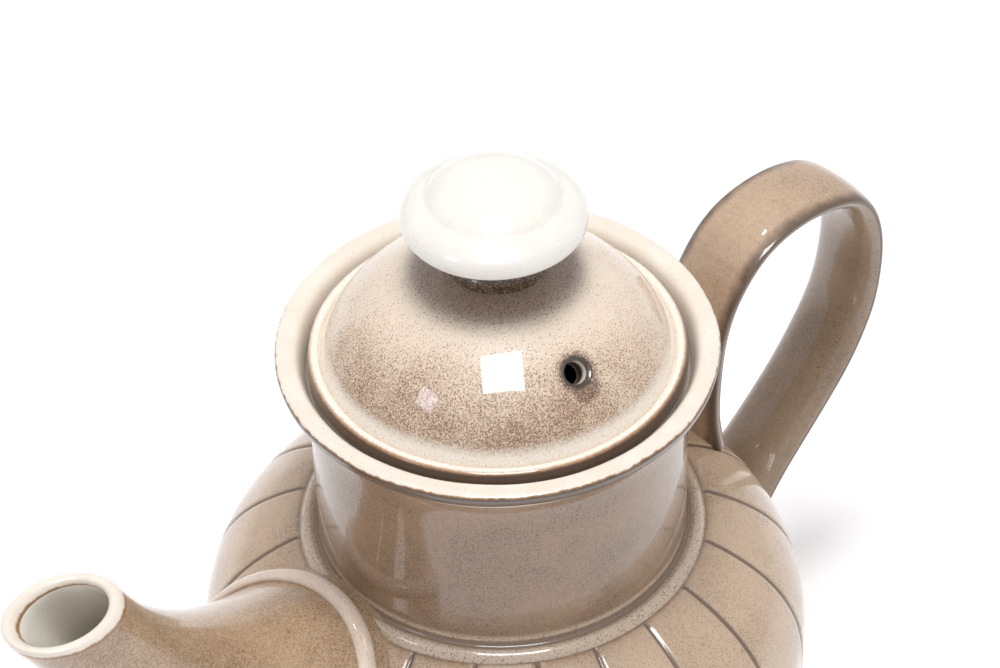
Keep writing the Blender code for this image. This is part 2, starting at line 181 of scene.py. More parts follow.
def new_piece(name, points, faces):
    """A smooth-shaded mesh object from points in mm from the pot's axis."""
    mesh = bpy.data.meshes.new(name)
    mesh.from_pydata([((x + AXIS_X) * MM, y * MM, z * MM) for x, y, z in points], [], faces)
    bm = bmesh.new()
    bm.from_mesh(mesh)
    bmesh.ops.recalc_face_normals(bm, faces=bm.faces)
    bm.to_mesh(mesh)
    bm.free()
    mesh.shade_smooth()
    obj = bpy.data.objects.new(name, mesh)
    bpy.context.scene.collection.objects.link(obj)
    return obj


def skin(name, rows, tips=(None, None), loop=False):
    """Quads over rows of points that each close on themselves, with a fan to a tip at either end."""
    rows = np.asarray(rows, float)
    count, sides = rows.shape[:2]
    points = [tuple(p) for p in rows.reshape(-1, 3)]
    faces = []
    for i in range(count if loop else count - 1):
        here, there = i * sides, (i + 1) % count * sides
        for j in range(sides):
            k = (j + 1) % sides
            faces.append((here + j, here + k, there + k, there + j))
    for first, tip in zip((0, (count - 1) * sides), tips):
        if tip is not None:
            points.append(tuple(tip))
            for j in range(sides):
                faces.append((len(points) - 1, first + j, first + (j + 1) % sides))
    return new_piece(name, points, faces)


def lathe(name, outline, steps, tips=(None, None), loop=False):
    """A turned skin; tips are heights on the axis."""
    angles = np.linspace(0.0, 2 * math.pi, steps, endpoint=False)
    turn = np.stack([np.cos(angles), np.sin(angles)], 1)
    rows = [np.column_stack([turn * r, np.full(steps, z)]) for r, z in outline]
    return skin(name, rows, [None if z is None else (0.0, 0.0, z) for z in tips], loop)


def bezier(p0, p1, p2, p3, t):
    s = 1.0 - t
    weights = (s ** 3, 3 * s * s * t, 3 * s * t * t, t ** 3)
    return tuple(sum(w * p[i] for w, p in zip(weights, (p0, p1, p2, p3))) for i in range(2))


def sweep(p0, p1, p2, p3, count):
    return [bezier(p0, p1, p2, p3, t) for t in np.linspace(0.0, 1.0, count)]


def arc(centre, radius, start, end, count):
    angles = np.radians(np.linspace(start, end, count))
    return [(centre[0] + radius * math.cos(a), centre[1] + radius * math.sin(a)) for a in angles]


def rounded(outline, radius, steps=5):
    """The closed outline with every corner replaced by a short curve."""
    points = [np.array(p, float) for p in outline]
    made = []
    for i, corner in enumerate(points):
        arms = []
        for other in (points[i - 1], points[(i + 1) % len(points)]):
            way = other - corner
            arms.append(corner + way * min(radius / np.linalg.norm(way), 0.4))
        for t in np.linspace(0.0, 1.0, steps):
            made.append(tuple((1 - t) ** 2 * arms[0] + 2 * t * (1 - t) * corner + t * t * arms[1]))
    return made


def densify(outline, step):
    """Adds points so that no stretch of the outline is longer than step."""
    made = [outline[0]]
    for start, end in zip(outline, outline[1:]):
        length = math.dist(start, end)
        count = max(1, math.ceil(length / step))
        for t in np.linspace(0.0, 1.0, count + 1)[1:]:
            made.append((start[0] + (end[0] - start[0]) * t, start[1] + (end[1] - start[1]) * t))
    return made


def densify_loop(outline, step):
    return densify(outline + outline[:1], step)[:-1]


def cut_with(obj, cutter):
    """Cuts cutter out of obj for good and removes it."""
    mod = obj.modifiers.new("cut", "BOOLEAN")
    mod.operation = "DIFFERENCE"
    mod.solver = "EXACT"
    mod.object = cutter
    bake_modifiers(obj)
    bpy.data.objects.remove(cutter, do_unlink=True)
    obj.data.set_sharp_from_angle(angle=math.radians(40))


def bake_modifiers(obj):
    """Puts the modifiers' result into the mesh."""
    bpy.context.view_layer.update()
    graph = bpy.context.evaluated_depsgraph_get()
    mesh = bpy.data.meshes.new_from_object(obj.evaluated_get(graph))
    mesh.name = obj.name
    obj.modifiers.clear()
    obj.data = mesh


def wobble(obj, amount, size):
    """Moves the skin in and out a little, as thrown clay is never quite true."""
    normals = [v.normal.copy() for v in obj.data.vertices]
    for vertex, normal in zip(obj.data.vertices, normals):
        vertex.co += normal * (noise.noise(vertex.co / (size * MM)) * amount * MM)


def smoothstep(value, low, high):
    t = min(1.0, max(0.0, (value - low) / (high - low)))
    return t * t * (3 - 2 * t)


# ---- bowl ----

def bowl_outline(grow, top, bottom, count):
    """Points (r, z) down the bowl grown by grow, from one height to another."""
    a, b = BOWL_R + grow, BOWL_HALF + grow

    def turn(z):
        share = (z - BOWL_MID) / b
        return math.asin(math.copysign(abs(share) ** (BOWL_POWER / 2), share))

    points = []
    for t in np.linspace(turn(top), turn(bottom), count):
        r = a * abs(math.cos(t)) ** (2 / BOWL_POWER)
        points.append((r, BOWL_MID + b * math.copysign(abs(math.sin(t)) ** (2 / BOWL_POWER), math.sin(t))))
    return points


def bowl_excess(point, grow):
    """Negative inside the bowl grown by grow, positive outside it."""
    r = math.hypot(point[0], point[1]) / (BOWL_R + grow)
    z = abs(point[2] - BOWL_MID) / (BOWL_HALF + grow)
    return r ** BOWL_POWER + z ** BOWL_POWER - 1.0


def groove_azimuth(index):
    """The lines were cut by hand, so their spacing drifts a little round the bowl."""
    azimuth = GROOVE_TURN + 2 * math.pi * index / GROOVES
    return azimuth + math.radians(0.6 + 3.0 * math.cos(2 * (azimuth + math.radians(160))))


def groove_columns():
    """Per column: azimuth at the line and at the next, mm off the line or None, and share of the gap."""
    columns = []
    for index in range(GROOVES):
        here, there = groove_azimuth(index), groove_azimuth(index + 1)
        columns += [(here, there, d, 0.0) for d in GROOVE_SIDES]
        columns += [(here, there, None, s) for s in np.linspace(0.0, 1.0, GROOVE_GAPS + 2)[1:-1]]
        columns += [(here, there, -d, 1.0) for d in GROOVE_SIDES[:0:-1]]
    return columns


def column_angle(column, r):
    """Azimuth of a column where the skin has radius r: lines keep their width in mm all the way down."""
    here, there, offset, share = column
    reach = max(r, NECK_R)
    margin = GROOVE_SIDES[-1] / reach
    if offset is None:
        return here + margin + (there - here - 2 * margin) * share
    return (there if share else here) + offset / reach


def groove_depth(column, along):
    """How far the skin is pushed in: a round-bottomed line with a slight burr beside it."""
    offset = column[2]
    if offset is None:
        return 0.0
    burr = math.exp(-((abs(offset) - BURR_PLACE) / BURR_HALF) ** 2)
    line = math.exp(-(offset / GROOVE_HALF) ** 2) - BURR_DEPTH * burr
    return GROOVE_DEPTH * line * smoothstep(along, 0.0, 1.6)


def make_bowl():
    """Outside, underside, floor and inside of the bowl, with the incised lines pushed into the outside."""
    floor = BOWL_UNDER + FLOOR_THICK
    outside = [(THROAT_R, SEAT_Z), (SEAT_R, SEAT_Z)] + bowl_outline(0.0, SEAT_Z, BOWL_UNDER, 84)
    outside = densify(outside, 2.4)
    inside = bowl_outline(-WALL, SEAT_Z - WALL, floor, 34)
    outline = outside + [(FLOOR_R, BOWL_UNDER), (FLOOR_R, floor)] + inside[::-1]
    outline += [(THROAT_R, SEAT_Z - WALL)]
    columns = groove_columns()
    rows, depths, along = [], [], 0.0
    for i, (r, z) in enumerate(outline):
        grooved = i < len(outside) and (r >= GROOVE_START_R or GROOVE_LOW_Z < z < GROOVE_HIGH_Z)
        if grooved and i:
            along += math.dist(outline[i - 1], (r, z))
        ahead, behind = outline[(i + 1) % len(outline)], outline[i - 1]
        way = Vector((ahead[0] - behind[0], ahead[1] - behind[1])).normalized()
        row, cuts = [], []
        for column in columns:
            angle = column_angle(column, r)
            depth = groove_depth(column, along) * smoothstep(z, 9.0, 13.0) if grooved else 0.0
            cuts.append(depth)
            radius, height = r + way.y * depth, z - way.x * depth
            row.append((radius * math.cos(angle), radius * math.sin(angle), height))
        rows.append(row)
        depths.append(cuts)
    under = len(outside)
    obj = closed_vessel("bowl_skin", rows[:under + 1], rows[under + 1:])
    mask = obj.data.attributes.new("line", "FLOAT", "POINT")
    for i in range(under):
        for j, depth in enumerate(depths[i]):
            mask.data[i * len(columns) + j].value = max(0.0, depth / GROOVE_DEPTH)
    return obj


def closed_vessel(name, outer, inner):
    """Outer rows down to the underside, a disc, a second disc for the floor, and inner rows back up."""
    sides = len(outer[0])
    points = [p for row in outer + inner for p in row]
    count, faces = len(outer) + len(inner), []
    for i in range(count):
        if i == len(outer) - 1:
            continue
        here, there = i * sides, (i + 1) % count * sides
        for j in range(sides):
            k = (j + 1) % sides
            faces.append((here + j, here + k, there + k, there + j))
    for row in (len(outer) - 1, len(outer)):
        points.append((0.0, 0.0, points[row * sides][2]))
        for j in range(sides):
            faces.append((len(points) - 1, row * sides + j, row * sides + (j + 1) % sides))
    return new_piece(name, points, faces)


def pins(name, radius, length, places):
    """One mesh of round pins, for cutting with."""
    bm = bmesh.new()
    for place in places:
        bmesh.ops.create_cone(bm, cap_ends=True, segments=32, radius1=radius * MM, radius2=radius * MM,
                              depth=length * MM, matrix=place)
    mesh = bpy.data.meshes.new(name)
    bm.to_mesh(mesh)
    bm.free()
    obj = bpy.data.objects.new(name, mesh)
    bpy.context.scene.collection.objects.link(obj)
    return obj


def pierce_strainer(bowl):
    """A ring of holes round a middle one, through the wall behind the spout."""
    outward = Vector((-math.cos(STRAINER_TILT), 0.0, math.sin(STRAINER_TILT)))
    turn = outward.to_track_quat("Z", "Y").to_matrix().to_4x4()
    places = []
    for i in range(STRAINER_RING + 1):
        a = math.radians(60 * i)
        reach = STRAINER_PITCH if i < STRAINER_RING else 0.0
        place = turn.copy()
        offset = turn.to_3x3() @ Vector((reach * math.cos(a), reach * math.sin(a), 0.0))
        middle = Vector((AXIS_X - STRAINER_ON_BOWL[0], 0.0, STRAINER_ON_BOWL[1]))
        place.translation = (middle + offset) * MM
        places.append(place)
    cut_with(bowl, pins("strainer_cutter", STRAINER_HOLE_R, STRAINER_DRILL, places))


def make_foot():
    """The unglazed ring that the pot stands on."""
    inner = FOOT_R - 6.0
    outline = [(inner + 0.4, 3.0), (FOOT_R + 0.2, 3.0), (FOOT_R - 0.6, 0.0), (inner + 0.8, 0.0)]
    return lathe("foot_skin", densify_loop(rounded(outline, 0.7), 1.0), FOOT_STEPS, loop=True)


# ---- neck ----

def make_neck():
    """Throat, gallery, rolled rim, cove under it, the straight neck and the bead it stands in."""
    bottom = SEAT_Z + 0.02
    outline = [(THROAT_R, bottom), (THROAT_R, NECK_MID_Z), (THROAT_R, LEDGE_Z - 0.6),
               (THROAT_R + 0.6, LEDGE_Z), (GALLERY_R - 0.7, LEDGE_Z), (GALLERY_R, LEDGE_Z + 0.7),
               (GALLERY_R, RIM_Z - 4.6)]
    outline += sweep((GALLERY_R + 0.15, RIM_Z - 4.2), (GALLERY_R + 0.9, RIM_Z - 1.7),
                     (GALLERY_R + 1.5, RIM_Z), (GALLERY_R + 3.4, RIM_Z), 11)
    outline += arc((RIM_R - RIM_CORNER, RIM_Z - RIM_CORNER), RIM_CORNER, 90, -10, 12)
    outline += sweep((RIM_R - 0.1, RIM_Z - 1.7), (RIM_R - 0.35, RIM_Z - 3.5), (RIM_R - 1.5, RIM_Z - 4.0),
                     (RIM_R - 2.6, RIM_Z - 4.5), 8)
    outline += sweep((RIM_R - 3.1, RIM_Z - 4.9), (NECK_R + 1.2, RIM_Z - 7.5), (NECK_R, RIM_Z - 9.5),
                     (NECK_R, RIM_Z - 15.0), 12)
    outline += [(NECK_R, NECK_MID_Z), (NECK_R, SEAT_Z + 3.4)]
    outline += sweep((NECK_R + 0.05, SEAT_Z + 2.6), (NECK_R + 0.3, SEAT_Z + 1.5),
                     (NECK_R + 0.8, SEAT_Z + 1.3), (NECK_R + 1.3, SEAT_Z + 1.5), 8)
    outline += sweep((NECK_R + 1.6, SEAT_Z + 1.7), (NECK_R + 2.3, SEAT_Z + 2.35),
                     (BEAD_EDGE_R - 0.7, SEAT_Z + 1.6), (BEAD_EDGE_R - 0.1, SEAT_Z + 0.5), 12)
    outline += [(BEAD_EDGE_R + 0.3, SEAT_Z + 0.12), (BEAD_EDGE_R + 0.3, bottom)]
    obj = lathe("neck_skin", densify_loop(outline, 1.6), FINE_STEPS, loop=True)
    wobble(obj, 0.12, 14.0)
    return obj


# ---- spout ----

def spout_point(share, angle, grow):
    """A point of the grown spout skin: share 0 is the root, share 1 the mouth, and angle 0 is on top."""
    upper = np.array(bezier(*SPOUT_UPPER, share))
    lower = np.array(bezier(*SPOUT_LOWER, share))
    middle, up = (upper + lower) / 2, (upper - lower) / 2
    half_height = np.linalg.norm(up)
    half_width = SPOUT_MOUTH_HALF + SPOUT_ROOT_SPREAD * (1.0 - share) ** SPOUT_FLARE + grow
    r, z = middle + up * math.cos(angle) * (half_height + grow) / half_height
    return np.array((-r, half_width * math.sin(angle), z))


def share_at_bowl(angle, grow, standoff):
    """Where a line of the grown spout skin is at a given height above the bowl."""
    low, high = 0.0, 0.6
    for _ in range(26):
        share = (low + high) / 2
        if bowl_excess(spout_point(share, angle, grow), standoff) < 0.0:
            low = share
        else:
            high = share
    return low


def make_spout():
    """Outer wall up from the bowl, over the lip and back down the bore."""
    angles = np.linspace(0.0, 2 * math.pi, SPOUT_SIDES, endpoint=False)
    rings = []
    for grow, order in ((0.0, 1), (-SPOUT_WALL, -1)):
        starts = [share_at_bowl(a, grow, -SPOUT_SUNK) for a in angles]
        walls = []
        for t in np.linspace(0.0, 1.0, SPOUT_RINGS):
            walls.append([spout_point(s + (SPOUT_LIP_SHARE - s) * t, a, grow)
                          for s, a in zip(starts, angles)])
        rings += walls[::order]
        if order == 1:
            rings += lip_rings(angles)
    obj = skin("spout_skin", rings, loop=True)
    wobble(obj, 0.1, 12.0)
    return obj


def lip_rings(angles):
    """The rounded lip, level with the mouth's plane at its highest."""
    mouth_z = SPOUT_UPPER[-1][1]
    rings = []
    for turn in np.linspace(0.0, math.pi, LIP_TURNS)[1:-1]:
        ring = []
        for angle in angles:
            outer = spout_point(SPOUT_LIP_SHARE, angle, 0.0)
            inner = spout_point(SPOUT_LIP_SHARE, angle, -SPOUT_WALL)
            outer_top = spout_point(1.0, angle, 0.15)
            inner_top = spout_point(1.0, angle, -SPOUT_WALL + 0.3)
            side = (math.cos(turn) + 1) / 2
            rise = math.sin(turn) ** 0.7
            base = outer * side + inner * (1 - side)
            top = outer_top * side + inner_top * (1 - side)
            point = base + (top - base) * rise
            point[2] = base[2] + (mouth_z - base[2]) * rise
            ring.append(point)
        rings.append(ring)
    return rings


def make_spout_bead():
    """A bead laid round the spout just off the bowl."""
    angles = np.linspace(0.0, 2 * math.pi, 160, endpoint=False)
    line = np.array([spout_point(share_at_bowl(a, 1.7, ROOT_STANDOFF), a, 0.75) for a in angles])
    rings = []
    for i, point in enumerate(line):
        along = line[(i + 1) % len(line)] - line[i - 1]
        along /= np.linalg.norm(along)
        out = np.array((point[0] * 0.2 + 8.0, point[1], point[2] - 60.0))
        out -= along * (out @ along)
        out /= np.linalg.norm(out)
        side = np.cross(along, out)
        rings.append([point + ROOT_BEAD_H * out * math.cos(a) + ROOT_BEAD_HALF * side * math.sin(a)
                      for a in np.linspace(0.0, 2 * math.pi, 20, endpoint=False)])
    return skin("spout_bead_skin", rings, loop=True)


# ---- handle ----

def strap_line(count):
    """Points on the clamped cubic B-spline through the handle's control points, mouth side first."""
    spans = len(HANDLE_PATH) - 3
    knots = [0.0] * 3 + list(range(spans + 1)) + [float(spans)] * 3
    made = []
    for t in np.linspace(0.0, spans - 1e-9, count):
        k = int(t) + 3
        d = [np.array(HANDLE_PATH[j + k - 3]) for j in range(4)]
        for r in range(1, 4):
            for j in range(3, r - 1, -1):
                low = knots[j + k - 3]
                share = (t - low) / (knots[j + 1 + k - r] - low)
                d[j] = (1 - share) * d[j - 1] + share * d[j]
        made.append(d[3])
    return np.array(made)


def make_handle():
    """An oval strap: nearly flat outside, fuller inside, spreading where it is pressed onto the bowl."""
    path = strap_line(STRAP_RINGS)
    rows = []
    for i, (r, z) in enumerate(path):
        ahead, behind = path[min(i + 1, len(path) - 1)], path[max(i - 1, 0)]
        way = (ahead - behind) / np.linalg.norm(ahead - behind)
        outward = np.array((-way[1], way[0]))
        clear = bowl_clearance(r, z)
        spread = 1.0 + STRAP_SPREAD * math.exp(-max(clear, 0.0) / 5.0)
        row = []
        for a in np.linspace(0.0, 2 * math.pi, STRAP_SIDES, endpoint=False):
            depth = (STRAP_CROWN if math.sin(a) > 0 else STRAP_BELLY) * math.sin(a)
            across = STRAP_WIDTH / 2 * math.cos(a) * spread
            place = np.array((r, z)) + outward * depth * (1.0 + 0.5 * (spread - 1.0))
            row.append((place[0], across, place[1]))
        rows.append(row)
    rows = np.array(rows)
    kept = [i for i, (r, z) in enumerate(path) if bowl_clearance(r, z) > -STRAP_SUNK]
    rows = rows[kept[0]:kept[-1] + 1]
    tips = (rows[0].mean(0), rows[-1].mean(0))
    obj = skin("handle_skin", rows, tips)
    wobble(obj, 0.22, 16.0)
    return obj


def bowl_clearance(r, z):
    """Roughly how far a point of the handle's line is outside the bowl, in mm."""
    share = (r / BOWL_R) ** BOWL_POWER + (abs(z - BOWL_MID) / BOWL_HALF) ** BOWL_POWER
    return (share ** (1 / BOWL_POWER) - 1.0) * BOWL_R


# ---- lid and knob ----

def dome_outline(radius, outer, inner, count):
    """Points up a dome about the lid's centre, from one radius in to another."""
    centre = DOME_APEX_Z - DOME_BALL
    start, end = math.acos(outer / radius), math.acos(inner / radius)
    points = []
    for a in np.linspace(start, end, count):
        r = radius * math.cos(a)
        swell = 1.0 + DOME_FULLNESS * smoothstep(r, 18.0, DOME_R)
        points.append((r * swell, centre + radius * math.sin(a)))
    return points


def make_lid():
    """Dome, rolled edge, underside, skirt and inner dome, with the steam vent cut through."""
    inner_ball = DOME_BALL - LID_WALL
    skirt_inner = SKIRT_R - SKIRT_WALL
    outline = dome_outline(DOME_BALL, DOME_R, 4.0, 44)[::-1]
    crease = outline[-1][0]
    outline += sweep((crease + 0.05, 124.75), (crease + 0.15, 124.6), (crease + 0.2, 125.0),
                     (ROLL_R - 0.72, ROLL_Z + 1.15), 5)
    outline += arc((ROLL_R, ROLL_Z), ROLL_WIRE, 112, 25, 8)
    outline += sweep((LID_R - 0.35, ROLL_Z + 0.05), (LID_R, 124.0), (LID_R, 123.4), (LID_R, 122.8), 5)
    outline += arc((LID_R - 0.6, LID_BOTTOM_Z + 0.6), 0.6, 0, -90, 5)
    outline += [(SKIRT_R + 0.6, LID_BOTTOM_Z), (SKIRT_R, LID_BOTTOM_Z - 0.6)]
    outline += arc((SKIRT_R - 0.9, SKIRT_BOTTOM_Z + 0.9), 0.9, 0, -90, 6)
    outline += arc((skirt_inner + 0.7, SKIRT_BOTTOM_Z + 0.7), 0.7, -90, -180, 5)
    outline += [(skirt_inner, LID_BOTTOM_Z)]
    outline += dome_outline(inner_ball, skirt_inner - 0.3, 4.0, 24)
    tips = (DOME_APEX_Z - 0.05, DOME_APEX_Z - LID_WALL - 0.05)
    obj = lathe("lid_skin", densify(outline, 1.3), FINE_STEPS, tips)
    wobble(obj, 0.1, 12.0)
    cut_with(obj, make_vent_cutter())
    return obj


def vent_direction():
    tilt = math.asin(VENT_REACH / DOME_BALL)
    return Vector((math.sin(tilt) * math.cos(VENT_AZIMUTH), math.sin(tilt) * math.sin(VENT_AZIMUTH),
                   math.cos(tilt)))


def make_vent_cutter():
    """A steam vent square to the dome, with a softly opened mouth."""
    profile = [(VENT_R, -9.0), (VENT_R, -0.9), (VENT_R + 0.12, -0.45), (VENT_R + 0.4, -0.15),
               (VENT_R + 1.0, 0.1), (VENT_R + 1.4, 1.5)]
    cutter = lathe("vent_cutter", profile, 48, (-9.0, 1.5))
    turn = vent_direction().to_track_quat("Z", "Y").to_matrix().to_4x4()
    centre = Vector((AXIS_X, 0.0, DOME_APEX_Z - DOME_BALL)) * MM
    for vertex in cutter.data.vertices:
        local = vertex.co - Vector((AXIS_X * MM, 0.0, -DOME_BALL * MM))
        vertex.co = centre + turn.to_3x3() @ local
    return cutter


def make_knob():
    """Flat button knob on a waisted stem that runs out into the dome."""
    under = KNOB_EDGE_Z - 2.6
    outline = sweep((1.0, KNOB_TOP_Z), (7.0, KNOB_TOP_Z - 0.3), (11.5, KNOB_TOP_Z - 2.2),
                    (KNOB_STEP_R - 0.5, KNOB_STEP_Z + 0.35), 14)
    outline += sweep((KNOB_STEP_R, KNOB_STEP_Z - 0.1), (KNOB_STEP_R + 2.6, KNOB_STEP_Z - 1.2),
                     (KNOB_R, KNOB_EDGE_Z + 2.6), (KNOB_R, KNOB_EDGE_Z + 0.2), 14)
    outline += sweep((KNOB_R - 0.05, KNOB_EDGE_Z - 0.4), (KNOB_R - 0.5, KNOB_EDGE_Z - 1.9),
                     (17.0, under), (13.6, under - 0.5), 10)
    outline += sweep((12.6, under - 1.0), (9.6, under - 2.4), (STEM_WAIST_R, 154.5),
                     (STEM_WAIST_R, 151.8), 12)
    outline += sweep((STEM_WAIST_R + 0.1, 151.2), (STEM_WAIST_R + 0.5, 149.6), (STEM_FOOT_R, 148.9),
                     (STEM_FOOT_R + 2.2, 147.7), 8)
    obj = lathe("knob_skin", densify(outline, 0.9), KNOB_STEPS, (KNOB_TOP_Z, 147.0))
    wobble(obj, 0.1, 9.0)
    return obj


# ---- infuser ----

def perforated(name, columns, rows, place, wrap):
    """A sheet of cells, each with a round hole; place(u, v) is the point in mm at a share of the sheet."""
    points, faces, corner = [], [], {}

    def corner_at(i, j):
        key = (i % columns if wrap else i, j)
        if key not in corner:
            corner[key] = len(points)
            points.append(place(i / columns, j / rows))
        return corner[key]

    for i in range(columns):
        for j in range(rows):
            edge = len(points)
            for n in range(8):
                a = math.radians(45 * n - 135)
                u, v = i + 0.5 + MESH_HOLE * math.cos(a), j + 0.5 + MESH_HOLE * math.sin(a)
                points.append(place(u / columns, v / rows))
            corners = [corner_at(i + a, j + b) for a, b in ((0, 0), (1, 0), (1, 1), (0, 1))]
            for n in range(4):
                here, there = corners[n], corners[(n + 1) % 4]
                faces.append((here, there, edge + (2 * n + 2) % 8, edge + 2 * n + 1, edge + 2 * n))
    obj = new_piece(name, points, faces)
    solid = obj.modifiers.new("sheet", "SOLIDIFY")
    solid.thickness = MESH_THICK * MM
    solid.offset = 0.0
    bake_modifiers(obj)
    obj.data.set_sharp_from_angle(angle=math.radians(50))
    return obj


def wall_place(u, v):
    """Round the basket and up it."""
    r = BASKET_R - BASKET_WALL / 2
    z = HOOP_TOP_Z - 0.6 + (COLLAR_BOTTOM_Z + 1.0 - HOOP_TOP_Z) * v
    return (r * math.cos(2 * math.pi * u), r * math.sin(2 * math.pi * u), z)


def floor_place(u, v):
    """Square cells spread evenly over a disc."""
    x, y = 2 * u - 1, 2 * v - 1
    if abs(x) < 1e-9 and abs(y) < 1e-9:
        return (0.0, 0.0, BASKET_BOTTOM_Z + 0.5)
    if abs(x) > abs(y):
        reach, angle = x, math.pi / 4 * y / x
    else:
        reach, angle = y, math.pi / 2 - math.pi / 4 * x / y
    reach *= BASKET_R - 1.6
    return (reach * math.cos(angle), reach * math.sin(angle), BASKET_BOTTOM_Z + 0.5)


def make_infuser():
    """Rim with its collar, lower hoop, perforated wall and floor, and the ring under the rim."""
    inner = BASKET_R - BASKET_WALL
    top = FLANGE_Z + FLANGE_THICK
    flange = [(inner, COLLAR_BOTTOM_Z), (inner, top - 0.5), (inner + 1.0, top), (BASKET_RIM_R, top),
              (BASKET_RIM_R, FLANGE_Z - 0.1), (BASKET_R + 0.6, FLANGE_Z), (BASKET_R, FLANGE_Z - 0.7),
              (BASKET_R, COLLAR_BOTTOM_Z)]
    outline = densify_loop(rounded(flange, 0.3, 4), 2.0)
    rim = lathe("infuser_rim_skin", outline, INFUSER_STEPS, loop=True)
    hoop = [(inner, HOOP_TOP_Z), (BASKET_R, HOOP_TOP_Z), (BASKET_R, BASKET_BOTTOM_Z + 1.4),
            (BASKET_R - 1.4, BASKET_BOTTOM_Z), (BASKET_R - 2.6, BASKET_BOTTOM_Z),
            (BASKET_R - 2.6, BASKET_BOTTOM_Z + 0.9), (inner - 0.3, BASKET_BOTTOM_Z + 1.6)]
    outline = densify_loop(rounded(hoop, 0.3, 4), 2.0)
    base_ring = lathe("infuser_hoop_skin", outline, INFUSER_STEPS, loop=True)
    wall = perforated("infuser_wall_skin", *WALL_CELLS, wall_place, True)
    floor = perforated("infuser_floor_skin", *FLOOR_CELLS, floor_place, False)
    ring = [(BASKET_R + 1.2, GASKET_LOW_Z), (BASKET_RIM_R - 0.3, GASKET_LOW_Z),
            (BASKET_RIM_R - 0.3, GASKET_HIGH_Z), (BASKET_R + 1.2, GASKET_HIGH_Z)]
    gasket = lathe("infuser_gasket_skin", rounded(ring, 0.35), INFUSER_STEPS, loop=True)
    return rim, base_ring, wall, floor, gasket


# ---- materials ----

